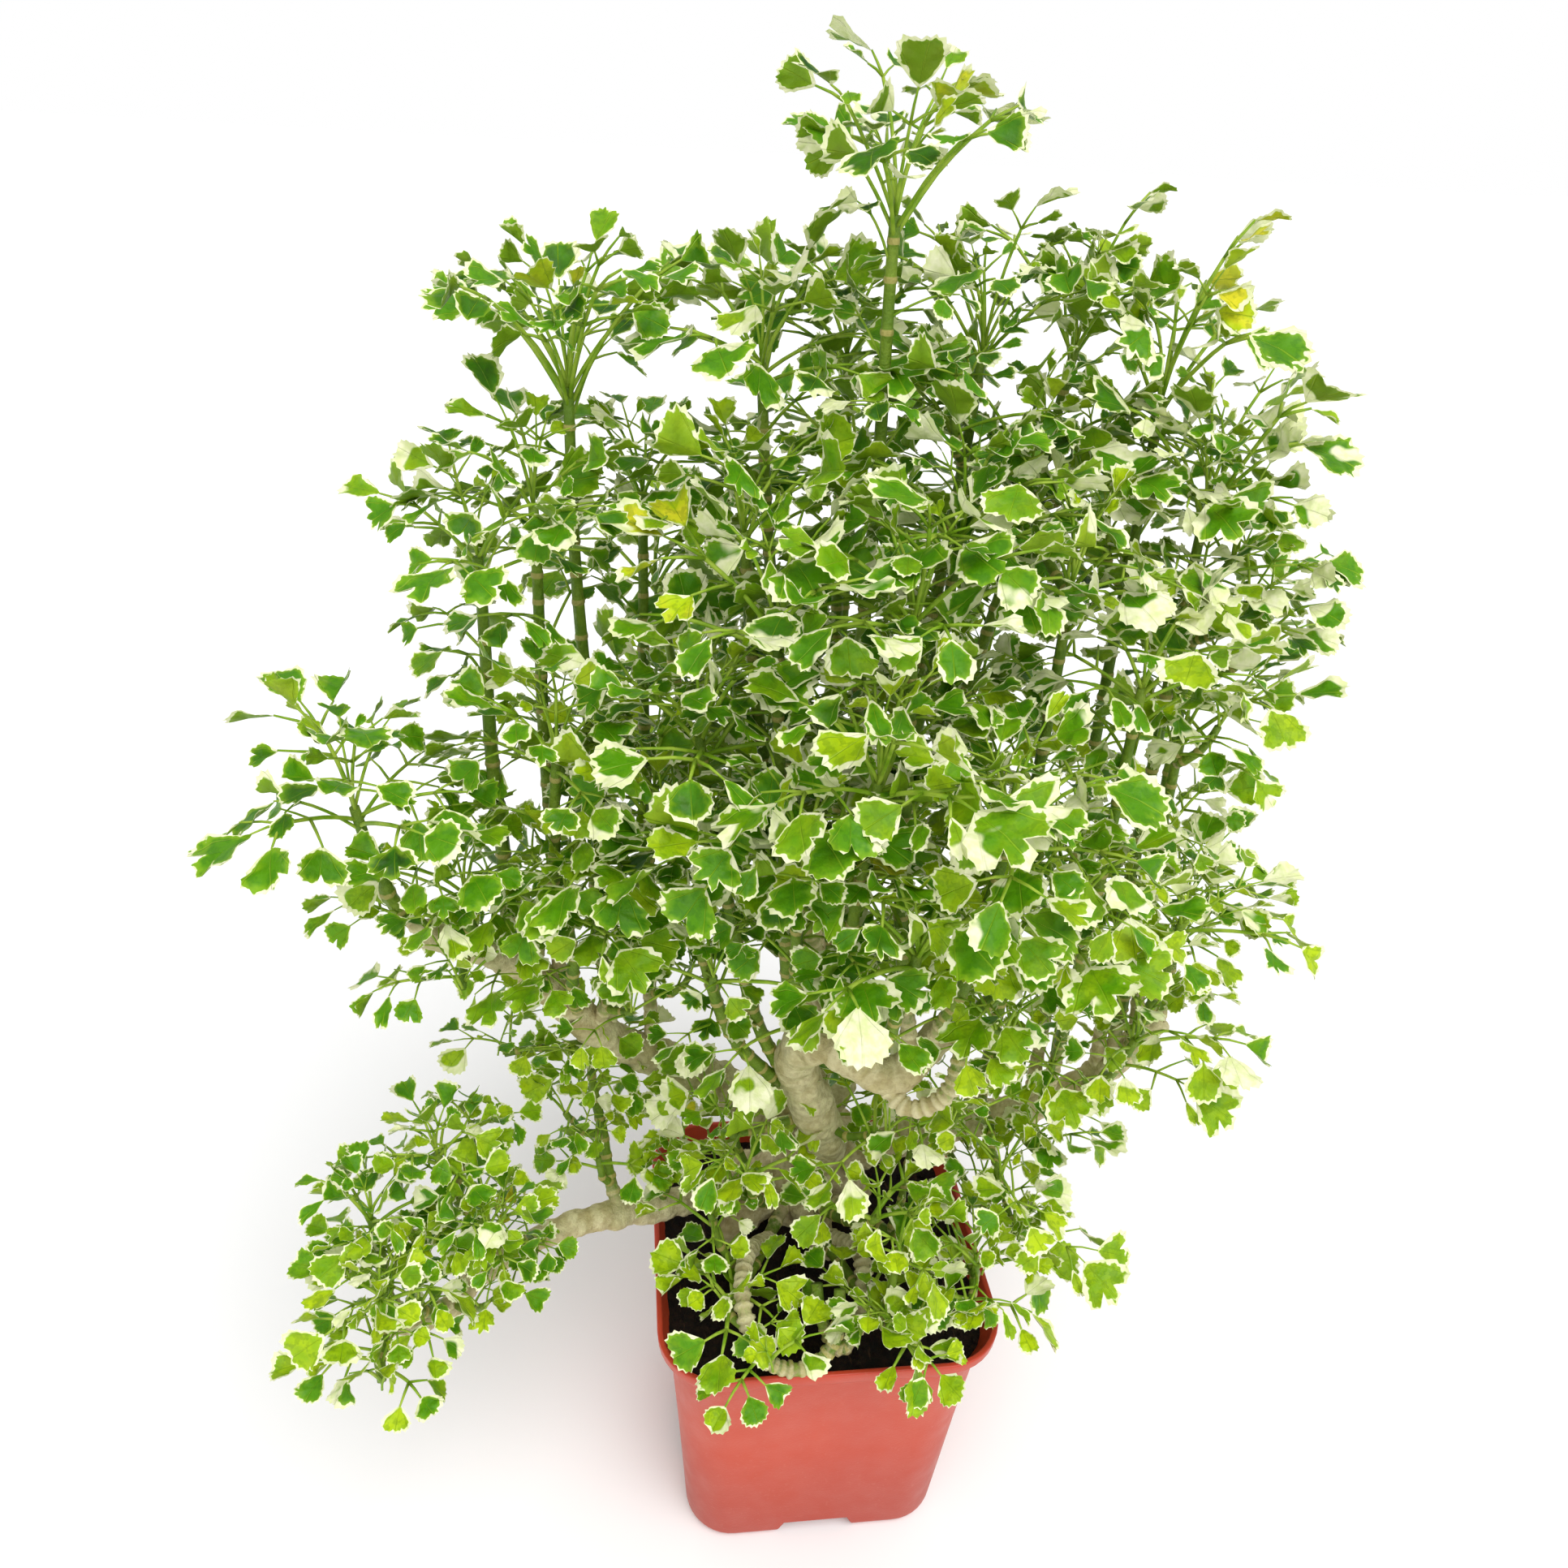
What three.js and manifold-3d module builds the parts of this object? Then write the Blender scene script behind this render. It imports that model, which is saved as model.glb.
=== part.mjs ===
// A potted variegated aralia: a square plastic nursery pot filled with soil, a gnarled woody trunk with
// spreading boughs, green canes that rise from the boughs, and a whorl of compound leaves on each cane.
// Millimetres, +Z up. The origin is the centre of the pot's underside, on the surface it stands on.
import * as THREE from "three";
import { mergeVertices } from "three/addons/utils/BufferGeometryUtils.js";
import Module from "manifold-3d";

const wasm = await Module();
wasm.setup();

// ---- Driving dimensions ----------------------------------------------------------------------------
const GAP = 0.3; // clearance between pieces that touch
const POT = { rim: 100, base: 80, height: 90, corner: 18, wall: 1.6, floor: 8.5, band: 7, lip: 1.6 };
const NOTCH = { width: 20, slope: 3, height: 6.4 }; // in the foot, at the middle of each side
const DRAIN = { radius: 3.5, reach: 24, channel: 7, depth: 1.4 }; // holes, and channels out to the notches
const SOIL_TOP = 85;
const CANE = { root: 2.1, tip: 1.5, sides: 5, steps: 4 };
const WOOD_SIDES = 8;
const CORE = { radius: 1.9, length: 8, sides: 5 }; // the sheathed bud that carries a whorl of leaves
const LEAF = { thickness: 0.7, stalk: 1.3, perWhorl: 4, turn: 137.5, lowest: 14, highest: 66 };

// Woody boughs, each a route of points with the radius at its start and end, and the canes that rise
// from it: how far along the bough each is rooted (0 to 1), where its tip is, and the length of its leaves
// where that differs from the bough's other leaves.
const TRUNK = { route: [[-6, 20, 50], [-5, 20, 78], [-2, 22, 96], [6, 26, 116]], radii: [13, 10] };
const SURFACE_ROOTS = [[-34, 2], [-30, 40], [6, 40], [26, 22], [6, -8]]; // where each dips into the soil
const BOUGHS = {
  leader: {
    route: [[4, 25, 111], [10, 30, 140], [3, 25, 166], [8, 30, 194]],
    radii: [7, 4],
    leaf: 54,
    canes: [
      [1.0, [-1, 6, 384], 42],
      [0.8, [-25, 26, 344]],
      [0.9, [-2, 44, 344]],
      [0.95, [26, 24, 350]],
      [1.0, [50, 30, 350]],
      [0.7, [-30, 2, 312]],
      [0.85, [18, -4, 314]],
    ],
  },
  left_high: {
    route: [[-3, 27, 106], [-38, 22, 138], [-62, 14, 158], [-84, 4, 192], [-106, -12, 216]],
    radii: [7.5, 3.5],
    leaf: 46,
    canes: [
      [0.5, [-68, 12, 343]],
      [1.0, [-117, -20, 262]],
      [0.8, [-88, 0, 306]],
      [0.66, [-76, 5, 316]],
      [0.4, [-52, 26, 314]],
      [0.75, [-72, -14, 264]],
      [0.55, [-50, -10, 254]],
      [0.9, [-94, -20, 232]],
      [0.6, [-71, -14, 224]],
    ],
  },
  left_low: {
    route: [[-4, 22, 94], [-45, 6, 99], [-78, -8, 106], [-98, -18, 102], [-111, -27, 96], [-124, -32, 99]],
    radii: [6.5, 3.2],
    leaf: 29,
    canes: [
      [0.97, [-132, -26, 136]],
      [0.7, [-108, -14, 144]],
      [0.85, [-120, -42, 124]],
      [0.6, [-94, -28, 130]],
      [1.0, [-136, -42, 98]],
      [0.45, [-68, 16, 152]],
    ],
  },
  front: {
    route: [[1, 17, 100], [-1, -2, 134], [-12, -12, 172], [-6, -24, 186], [10, -30, 180], [24, -26, 192]],
    radii: [7.5, 4.5],
    leaf: 44,
    canes: [
      [0.5, [-4, -42, 272]],
      [0.95, [26, -42, 258]],
      [0.6, [-19, -38, 246]],
      [0.8, [8, -46, 230]],
      [1.0, [48, -26, 222]],
      [0.4, [-24, -20, 296]],
      [0.9, [4, -26, 302]],
      [0.35, [-46, -14, 236]],
      [0.3, [-40, -16, 270]],
    ],
  },
  right: {
    route: [[10, 21, 102], [42, 24, 108], [68, 20, 118], [90, 16, 136], [104, 14, 158]],
    radii: [7, 3.8],
    leaf: 48,
    canes: [
      [0.55, [70, 22, 340]],
      [0.4, [44, -8, 304]],
      [0.75, [83, 14, 316]],
      [0.9, [90, 20, 286]],
      [0.6, [64, -12, 280]],
      [0.8, [86, 6, 258]],
      [1.0, [102, 12, 196], 36],
      [0.85, [92, -6, 208], 38],
      [0.7, [88, -4, 166], 32],
    ],
  },
  back: {
    route: [[2, 32, 98], [4, 58, 124], [6, 80, 166]],
    radii: [7, 4],
    leaf: 50,
    canes: [
      [0.7, [-48, 62, 280]],
      [1.0, [8, 74, 306]],
      [0.9, [54, 62, 292]],
      [0.8, [-32, 92, 226]],
      [1.0, [40, 94, 232]],
      [0.5, [76, 70, 208]],
    ],
  },
};
// Young shoots at the foot of the trunk, on canes that spring from it just above the soil.
const BASAL = {
  leaf: 30,
  canes: [
    [0.56, [-25, -20, 138]],
    [0.58, [12, -26, 124]],
    [0.56, [-30, -34, 100]],
    [0.58, [12, -44, 102]],
    [0.6, [42, -30, 104]],
  ],
};

// ---- Solids ----------------------------------------------------------------------------------------
// A closed three.js geometry as a manifold solid.
function solid(geometry) {
  const bare = geometry.clone();
  bare.deleteAttribute("normal");
  bare.deleteAttribute("uv");
  const merged = mergeVertices(bare, 1e-4);
  return new wasm.Manifold(
    new wasm.Mesh({
      numProp: 3,
      vertProperties: merged.attributes.position.array,
      triVerts: new Uint32Array(merged.index.array),
    }),
  );
}

// A manifold solid as a three.js geometry.
function geometryOf(body) {
  const mesh = body.getMesh();
  const geometry = new THREE.BufferGeometry();
  geometry.setAttribute("position", new THREE.BufferAttribute(mesh.vertProperties, 3));
  geometry.setIndex(new THREE.BufferAttribute(mesh.triVerts, 1));
  geometry.computeVertexNormals();
  return geometry;
}

function point(xyz) {
  return new THREE.Vector3(...xyz);
}

// A square with round corners, centred on the axis.
function roundedSquare(side, corner) {
  const half = side / 2;
  const shape = new THREE.Shape();
  shape.moveTo(half, corner - half);
  for (let quarter = 0; quarter < 4; quarter++) {
    const turn = (quarter * Math.PI) / 2;
    const centre = new THREE.Vector2(half - corner, half - corner).rotateAround(new THREE.Vector2(), turn);
    shape.absarc(centre.x, centre.y, corner, turn, turn + Math.PI / 2, false);
  }
  return shape;
}

// A rounded square carried up through levels of [height, side], its corners in proportion.
function stack(levels) {
  const geometry = new THREE.ExtrudeGeometry(roundedSquare(POT.rim, POT.corner), {
    depth: levels.length - 1,
    steps: levels.length - 1,
    bevelEnabled: false,
    curveSegments: 4,
  });
  const at = geometry.attributes.position;
  for (let i = 0; i < at.count; i++) {
    const [z, side] = levels[Math.round(at.getZ(i))];
    const scale = side / POT.rim;
    at.setXYZ(i, at.getX(i) * scale, at.getY(i) * scale, z);
  }
  return solid(geometry);
}

// A tapering round limb along a smooth curve through the points.
function limb(curve, radii, sides, steps) {
  const section = new THREE.Shape();
  for (let i = 0; i < sides; i++) {
    const angle = (2 * Math.PI * i) / sides;
    if (i === 0) section.moveTo(1, 0);
    else section.lineTo(Math.cos(angle), Math.sin(angle));
  }
  const geometry = new THREE.ExtrudeGeometry(section, { steps, extrudePath: curve, bevelEnabled: false });
  const centres = curve.getSpacedPoints(steps);
  const at = geometry.attributes.position;
  const corner = new THREE.Vector3();
  for (let i = 0; i < at.count; i++) {
    corner.fromBufferAttribute(at, i);
    const ring = nearest(centres, corner);
    const radius = THREE.MathUtils.lerp(radii[0], radii[1], ring / steps);
    corner.sub(centres[ring]).multiplyScalar(radius).add(centres[ring]);
    at.setXYZ(i, corner.x, corner.y, corner.z);
  }
  return solid(geometry);
}

function nearest(centres, corner) {
  let best = 0;
  centres.forEach((centre, i) => {
    if (centre.distanceTo(corner) < centres[best].distanceTo(corner)) best = i;
  });
  return best;
}

// ---- Pot and soil ----------------------------------------------------------------------------------
// The wall leans out to just under the rim band, which stands a little proud of it.
function outerSide(z) {
  return THREE.MathUtils.lerp(POT.base, POT.rim - POT.lip, z / POT.height);
}

function innerSide(z) {
  return outerSide(z) - 2 * POT.wall;
}

function makePot() {
  const underBand = POT.height - POT.band;
  let pot = stack([
    [0, outerSide(0) - 6],
    [1.2, outerSide(0) - 2.4],
    [4, outerSide(4)],
    [underBand, outerSide(underBand)],
    [underBand + 0.8, outerSide(underBand) + POT.lip],
    [POT.height - 0.8, POT.rim],
    [POT.height, POT.rim - 1],
  ]);
  pot = pot.subtract(
    stack([
      [POT.floor, innerSide(POT.floor) - 4],
      [POT.floor + 3, innerSide(POT.floor + 3)],
      [POT.height + 1, innerSide(POT.height + 1)],
    ]),
  );
  for (let side = 0; side < 4; side++) {
    pot = pot.subtract(footNotch(side)).subtract(drainChannel(side)).subtract(drainHole(side));
  }
  return pot;
}

// A shallow notch with sloping ends, cut through the foot at the middle of one side.
function footNotch(side) {
  const outline = new THREE.Shape();
  outline.moveTo(-NOTCH.width / 2 - NOTCH.slope, -1);
  outline.lineTo(NOTCH.width / 2 + NOTCH.slope, -1);
  outline.lineTo(NOTCH.width / 2, NOTCH.height);
  outline.lineTo(-NOTCH.width / 2, NOTCH.height);
  const geometry = new THREE.ExtrudeGeometry(outline, { depth: 20, bevelEnabled: false });
  geometry.rotateX(Math.PI / 2);
  geometry.translate(0, POT.base / 2 + 10, 0);
  geometry.rotateZ((side * Math.PI) / 2);
  return solid(geometry);
}

// Water runs from a hole in the floor along a channel in the underside to the notch.
function drainChannel(side) {
  const length = POT.base / 2 - DRAIN.reach + 2;
  const geometry = new THREE.BoxGeometry(DRAIN.channel, length, 2 * DRAIN.depth);
  geometry.translate(0, DRAIN.reach - 2 + length / 2, 0);
  geometry.rotateZ((side * Math.PI) / 2);
  return solid(geometry);
}

function drainHole(side) {
  const geometry = new THREE.CylinderGeometry(DRAIN.radius, DRAIN.radius, 4 * POT.floor, 12);
  geometry.rotateX(Math.PI / 2);
  geometry.translate(0, DRAIN.reach, 0);
  geometry.rotateZ((side * Math.PI) / 2);
  return solid(geometry);
}

function makeSoil(buried) {
  const soil = stack([
    [POT.floor + GAP, innerSide(POT.floor) - 4 - 2 * GAP],
    [POT.floor + 3 + GAP, innerSide(POT.floor + 3) - 2 * GAP],
    [SOIL_TOP - 1, innerSide(SOIL_TOP - 1) - 2 * GAP],
    [SOIL_TOP, innerSide(SOIL_TOP) - 6],
  ]);
  return soil.subtract(buried);
}

// ---- Wood and canes --------------------------------------------------------------------------------
function woodCurve(route) {
  return new THREE.CatmullRomCurve3(route.map(point), false, "centripetal");
}

// The trunk and its surface roots. With a margin it gives the hole that they fill in the soil.
function makeTrunk(margin) {
  const [foot, top] = TRUNK.radii;
  const [[x, y, z], ...upward] = TRUNK.route;
  const curve = woodCurve([[x, y, z - margin], ...upward]);
  let trunk = limb(curve, [foot + margin, top + margin], WOOD_SIDES, 6);
  const crown = point(TRUNK.route[1]);
  for (const [x, y] of SURFACE_ROOTS) {
    const outward = new THREE.Vector3(x - crown.x, y - crown.y, 0).setLength(margin);
    const dip = new THREE.Vector3(x, y, SOIL_TOP - 9).add(outward);
    const shoulder = crown.clone().lerp(dip, 0.5).setZ(SOIL_TOP + 3);
    const route = new THREE.CatmullRomCurve3([crown.clone().setZ(SOIL_TOP + 8), shoulder, dip]);
    trunk = trunk.add(limb(route, [7 + margin, 3 + margin], 6, 3));
  }
  return trunk;
}

// A cane leaves the wood outwards and then turns up to its tip.
function caneCurve(root, tip) {
  const spread = tip.clone().sub(root).setZ(0).multiplyScalar(0.2);
  const knee = root.clone().lerp(tip, 0.35).add(spread);
  const neck = root.clone().lerp(tip, 0.75).add(spread.multiplyScalar(0.6));
  return new THREE.CatmullRomCurve3([root, knee, neck, tip]);
}

// The wood joined with its canes, and a shoot at each cane's tip for a whorl of leaves to grow on.
function addCanes(wood, curve, canes, usualLeaf) {
  const shoots = [];
  let body = wood;
  for (const [along, tip, leaf = usualLeaf] of canes) {
    const cane = caneCurve(curve.getPointAt(along), point(tip));
    body = body.add(limb(cane, [CANE.root, CANE.tip], CANE.sides, CANE.steps));
    shoots.push({ tip: point(tip), heading: cane.getTangentAt(1), leaf });
  }
  return { body, shoots };
}

// ---- Leaves ----------------------------------------------------------------------------------------
// One compound leaf seen flat: a stalk, and the fan that its leaflets fill.
function leafShape(length, stalk) {
  const half = stalk / 2;
  const edge = [
    [0, half],
    [0.48, half],
    [0.68, 0.34 * length],
    [0.88, 0.25 * length],
    [1, 0.09 * length],
  ].map(([along, out]) => new THREE.Vector2(along * length, out));
  const mirrored = edge.map((p) => new THREE.Vector2(p.x, -p.y)).reverse();
  return new THREE.Shape([...mirrored, ...edge]);
}

function leafPlate(length, thickness, stalk, azimuth, rise, start) {
  const geometry = new THREE.ExtrudeGeometry(leafShape(length, stalk), {
    depth: thickness,
    bevelEnabled: false,
  });
  geometry.translate(0, 0, -thickness / 2);
  geometry.rotateY(-rise);
  geometry.rotateZ(azimuth);
  geometry.translate(start.x, start.y, start.z);
  return solid(geometry);
}

function makeCore({ tip, heading }) {
  const geometry = new THREE.CylinderGeometry(CORE.radius * 0.6, CORE.radius, CORE.length, CORE.sides);
  geometry.translate(0, CORE.length / 2 + GAP, 0);
  const upright = new THREE.Vector3(0, 1, 0);
  geometry.applyQuaternion(new THREE.Quaternion().setFromUnitVectors(upright, heading));
  geometry.translate(tip.x, tip.y, tip.z);
  return solid(geometry);
}

function boxOf(body) {
  const { min, max } = body.boundingBox();
  return new THREE.Box3(point(min), point(max));
}

// Everything that is already in place, so that each leaf grows only where there is room for it.
const placed = [];

function place(owner, body) {
  placed.push({ owner, body, box: boxOf(body) });
}

function hasRoom(owner, body) {
  const box = boxOf(body);
  return placed.every(
    (other) =>
      other.owner === owner || !other.box.intersectsBox(box) || other.body.intersect(body).isEmpty(),
  );
}

// How far a leaf may turn, in radians, and its share of the full length, in the order they are tried.
const LEAF_TRIES = [
  ...[0, 0.35, -0.35].map((nudge) => [nudge, 1]),
  ...[0.7, -0.7].map((nudge) => [nudge, 0.85]),
  ...[0, 0.5, -0.5].map((nudge) => [nudge, 0.6]),
];

// Leaves spiral up the core by the golden angle, the lowest spread flat and the youngest nearly upright.
// A leaf that would run into something turns a little or grows shorter, and is left out past that.
function makeWhorl({ name, tip, heading, leaf: length, core }, order) {
  let whorl = core;
  for (let k = 0; k < LEAF.perWhorl; k++) {
    const up = k / (LEAF.perWhorl - 1);
    const rise = THREE.MathUtils.degToRad(THREE.MathUtils.lerp(LEAF.lowest, LEAF.highest, up));
    const start = tip.clone().addScaledVector(heading, 2 + (CORE.length - 3) * up);
    const turn = THREE.MathUtils.degToRad(LEAF.turn * (k + order * 0.37));
    for (const [nudge, share] of LEAF_TRIES) {
      const size = length * share * (1 - 0.25 * up);
      const azimuth = turn + nudge;
      const leaf = leafPlate(size, LEAF.thickness, LEAF.stalk, azimuth, rise, start);
      const thickened = [LEAF.thickness + 2 * GAP, LEAF.stalk + 2 * GAP];
      const guard = leafPlate(size + 1, ...thickened, azimuth, rise, start);
      if (!hasRoom(name, leaf) || !hasRoom(name, guard)) continue;
      whorl = whorl.add(leaf);
      place(name, leaf);
      break;
    }
  }
  return whorl;
}

// ---- The whole plant -------------------------------------------------------------------------------
const plastic = new THREE.MeshStandardMaterial({ color: 0xd9695a, roughness: 0.45, metalness: 0 });
const earth = new THREE.MeshStandardMaterial({ color: 0x1a1210, roughness: 1, metalness: 0 });
const bark = new THREE.MeshStandardMaterial({ color: 0xb8a883, roughness: 0.9, metalness: 0 });
const foliage = new THREE.MeshStandardMaterial({ color: 0x4f9a2e, roughness: 0.55, metalness: 0 });

const aralia = new THREE.Group();

function addPiece(name, body, material) {
  const mesh = new THREE.Mesh(geometryOf(body), material);
  mesh.name = name;
  aralia.add(mesh);
}

const trunkBody = makeTrunk(0);
const trunkHole = makeTrunk(GAP);
const grown = { basal: addCanes(trunkBody, woodCurve(TRUNK.route), BASAL.canes, BASAL.leaf) };
for (const [name, bough] of Object.entries(BOUGHS)) {
  const curve = woodCurve(bough.route);
  const steps = bough.route.length + 2;
  const wood = limb(curve, bough.radii, WOOD_SIDES, steps);
  const { body, shoots } = addCanes(wood, curve, bough.canes, bough.leaf);
  grown[name] = { body: body.subtract(trunkHole), shoots };
}

addPiece("pot", makePot(), plastic);
addPiece("soil", makeSoil(trunkHole), earth);
addPiece("trunk", grown.basal.body, bark);
for (const name of Object.keys(BOUGHS)) addPiece(`bough_${name}`, grown[name].body, bark);

for (const child of aralia.children) place(child.name, solid(child.geometry));
const whorls = [];
for (const [bough, { shoots }] of Object.entries(grown)) {
  shoots.forEach((shoot, i) => {
    whorls.push({ name: `leaves_${bough}_${i + 1}`, ...shoot, core: makeCore(shoot) });
  });
}
for (const { name, core } of whorls) place(name, core);
whorls.forEach((whorl, order) => addPiece(whorl.name, makeWhorl(whorl, order), foliage));

export default aralia;
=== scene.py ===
import math
import random
from functools import partial

import bmesh
import bpy
import numpy as np
from mathutils import Matrix, Vector, noise


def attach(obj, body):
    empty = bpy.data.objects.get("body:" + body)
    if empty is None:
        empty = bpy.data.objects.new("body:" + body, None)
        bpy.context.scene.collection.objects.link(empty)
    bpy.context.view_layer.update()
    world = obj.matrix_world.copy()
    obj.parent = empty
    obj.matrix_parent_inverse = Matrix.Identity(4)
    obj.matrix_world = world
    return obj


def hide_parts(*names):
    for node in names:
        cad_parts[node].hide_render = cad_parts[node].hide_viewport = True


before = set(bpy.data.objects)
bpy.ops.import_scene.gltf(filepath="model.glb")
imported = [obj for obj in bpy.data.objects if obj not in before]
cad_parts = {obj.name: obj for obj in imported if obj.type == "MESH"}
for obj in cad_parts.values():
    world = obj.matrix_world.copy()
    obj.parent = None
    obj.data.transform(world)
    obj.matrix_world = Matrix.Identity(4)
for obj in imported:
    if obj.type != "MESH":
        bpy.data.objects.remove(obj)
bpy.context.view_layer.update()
bpy.ops.object.select_all(action="DESELECT")

# ---- Pot ----
# The pot is a square nursery pot of coral polypropylene, injection moulded in one piece.
# Its thin wall leans out to a flared lip, and each side has a drain notch in the foot.
MM = 0.001
POT_HEIGHT = 90 * MM
POT_FOOT_SIDE = 79.4 * MM
POT_WALL_TOP_SIDE = 92.4 * MM
POT_CORNER = 14.5 * MM
POT_WALL = 1.6 * MM
POT_FLOOR = 8.5 * MM
# The lip flares out over these levels, each as its depth below the rim and its step outwards.
LIP_LEVELS = [(d * MM, out * MM) for d, out in ((9.4, 0.3), (7.8, 0.65), (6.2, 0.95), (4.7, 0.95), (3.2, 0.55))]
FOOT_ROUNDING = 3.4 * MM
NOTCH_WIDTH = 20 * MM
NOTCH_HEIGHT = 6.4 * MM
NOTCH_SLOPE = 3 * MM
# The inside follows the lip and then the wall: each level and the pot's side there.
INSIDE_LEVELS = [
    (POT_HEIGHT - LIP_LEVELS[3][0], POT_WALL_TOP_SIDE + 4.3 * MM),
    (POT_HEIGHT - LIP_LEVELS[0][0], POT_WALL_TOP_SIDE - 1.6 * MM),
    (POT_FLOOR, POT_FOOT_SIDE + 1.2 * MM),
]
RIM_ROUNDING = 0.55 * MM
DRAIN_RADIUS = 3.5 * MM
DRAIN_REACH = 24 * MM
HAIR = 0.1 * MM
SHARP = 0.7


def rgb(red, green, blue):
    """A colour given as it is seen on screen, 0 to 255, in the linear values that shaders take."""
    linear = [((c / 255 + 0.055) / 1.055) ** 2.4 if c > 10 else c / 3295 for c in (red, green, blue)]
    return (*linear, 1.0)


def edit():
    bpy.ops.object.mode_set(mode="EDIT")


def leave_edit():
    bpy.ops.object.mode_set(mode="OBJECT")


def pick_all():
    bpy.ops.mesh.select_all(action="SELECT")


def pick_points(piece, test):
    """Selects the vertices of a piece in edit mode that pass a test on their place."""
    mesh = bmesh.from_edit_mesh(piece.data)
    for vertex in mesh.verts:
        vertex.select = bool(test(vertex.co))
    mesh.select_flush_mode()
    bmesh.update_edit_mesh(piece.data)


def pick_edges(piece, test):
    """Selects the edges of a piece in edit mode that pass a test on the edge."""
    bpy.ops.mesh.select_all(action="DESELECT")
    bpy.ops.mesh.select_mode(type="EDGE")
    mesh = bmesh.from_edit_mesh(piece.data)
    for edge in mesh.edges:
        edge.select = bool(test(edge))
    mesh.select_flush_mode()
    bmesh.update_edit_mesh(piece.data)


def start_piece(name):
    """Names the primitive that was just added and puts its place into its mesh."""
    piece = bpy.context.object
    piece.name = piece.data.name = name
    bpy.ops.object.transform_apply(location=True, rotation=True, scale=True)
    return piece


def select_only(piece):
    bpy.ops.object.select_all(action="DESELECT")
    piece.select_set(True)
    bpy.context.view_layer.objects.active = piece


def apply_modifier(piece, kind, **settings):
    modifier = piece.modifiers.new(kind, kind)
    for name, value in settings.items():
        setattr(modifier, name, value)
    bpy.context.view_layer.objects.active = piece
    bpy.ops.object.modifier_apply(modifier=modifier.name)


def cut_away(piece, cutter):
    apply_modifier(piece, "BOOLEAN", operation="DIFFERENCE", solver="EXACT", object=cutter)
    bpy.data.objects.remove(cutter)


bpy.ops.mesh.primitive_cube_add(size=1, location=(0, 0, POT_HEIGHT / 2), scale=(POT_FOOT_SIDE, POT_FOOT_SIDE, POT_HEIGHT))
pot = start_piece("pot_shell")
edit()
pick_edges(pot, lambda e: abs(e.verts[0].co.z - e.verts[1].co.z) > POT_HEIGHT / 2)
bpy.ops.mesh.bevel(offset=POT_CORNER, segments=10, affect="EDGES")
bpy.ops.mesh.select_mode(type="VERT")
pick_points(pot, lambda co: co.z > POT_HEIGHT / 2)
flare = POT_WALL_TOP_SIDE / POT_FOOT_SIDE
bpy.ops.transform.resize(value=(flare, flare, 1), center_override=(0, 0, POT_HEIGHT))
for height in (0.5 * POT_HEIGHT, *(POT_HEIGHT - below for below, _ in LIP_LEVELS)):
    pick_all()
    bpy.ops.mesh.bisect(plane_co=(0, 0, height), plane_no=(0, 0, 1))
bpy.ops.mesh.select_mode(type="VERT")
rim_side = POT_WALL_TOP_SIDE
for below, outwards in LIP_LEVELS:
    pick_points(pot, lambda co: co.z > POT_HEIGHT - below - HAIR)
    step = 1 + 2 * outwards / rim_side
    rim_side += 2 * outwards
    bpy.ops.transform.resize(value=(step, step, 1), center_override=(0, 0, POT_HEIGHT))
pick_points(pot, lambda co: co.z > POT_HEIGHT - HAIR)
bpy.ops.mesh.inset(thickness=POT_WALL)
inside = rim_side - 2 * POT_WALL
for height, side in INSIDE_LEVELS:
    side -= 2 * POT_WALL
    drop = height - max(v.co.z for v in bmesh.from_edit_mesh(pot.data).verts if v.select)
    bpy.ops.mesh.extrude_region_move(TRANSFORM_OT_translate={"value": (0, 0, drop)})
    bpy.ops.transform.resize(value=(side / inside, side / inside, 1), center_override=(0, 0, height))
    inside = side
pick_edges(pot, lambda e: max(v.co.z for v in e.verts) < HAIR and e.calc_face_angle(0) > SHARP)
bpy.ops.mesh.bevel(offset=FOOT_ROUNDING, segments=6, affect="EDGES")
pick_edges(pot, lambda e: min(v.co.z for v in e.verts) > POT_HEIGHT - HAIR and e.calc_face_angle(0) > SHARP)
bpy.ops.mesh.bevel(offset=RIM_ROUNDING, segments=4, affect="EDGES")
leave_edit()
for turn in (0, math.pi / 2):
    notch_size = (NOTCH_WIDTH, 1.3 * POT_FOOT_SIDE, 2 * NOTCH_HEIGHT)
    bpy.ops.mesh.primitive_cube_add(size=1, scale=notch_size, rotation=(0, 0, turn))
    notch = start_piece("notch")
    edit()
    pick_points(notch, lambda co: co.z < 0)
    opened = 1 + 4 * NOTCH_SLOPE / NOTCH_WIDTH
    along_x = (opened, 1, 1) if turn == 0 else (1, opened, 1)
    bpy.ops.transform.resize(value=along_x, center_override=(0, 0, 0))
    leave_edit()
    # The middle of the foot keeps its floor: the notch is cut only near the walls.
    bpy.ops.mesh.primitive_cube_add(size=1, scale=(DRAIN_REACH * 1.3, DRAIN_REACH * 1.3, 4 * NOTCH_HEIGHT))
    cut_away(notch, start_piece("keep"))
    cut_away(pot, notch)
for quarter in range(4):
    hole_at = Matrix.Rotation(quarter * math.pi / 2, 3, "Z") @ Vector((0, DRAIN_REACH, 0))
    bpy.ops.mesh.primitive_cylinder_add(radius=DRAIN_RADIUS, depth=6 * POT_FLOOR, vertices=24, location=hole_at)
    cut_away(pot, start_piece("drain"))


# Nodes are added to the node tree at hand, which is always called tree.
def new_material(name):
    """A material and its node tree and Principled shader."""
    material = bpy.data.materials.new(name)
    material.use_nodes = True
    return material, material.node_tree, material.node_tree.nodes["Principled BSDF"]


def dress(piece, material):
    piece.data.materials.clear()
    piece.data.materials.append(material)


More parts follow.
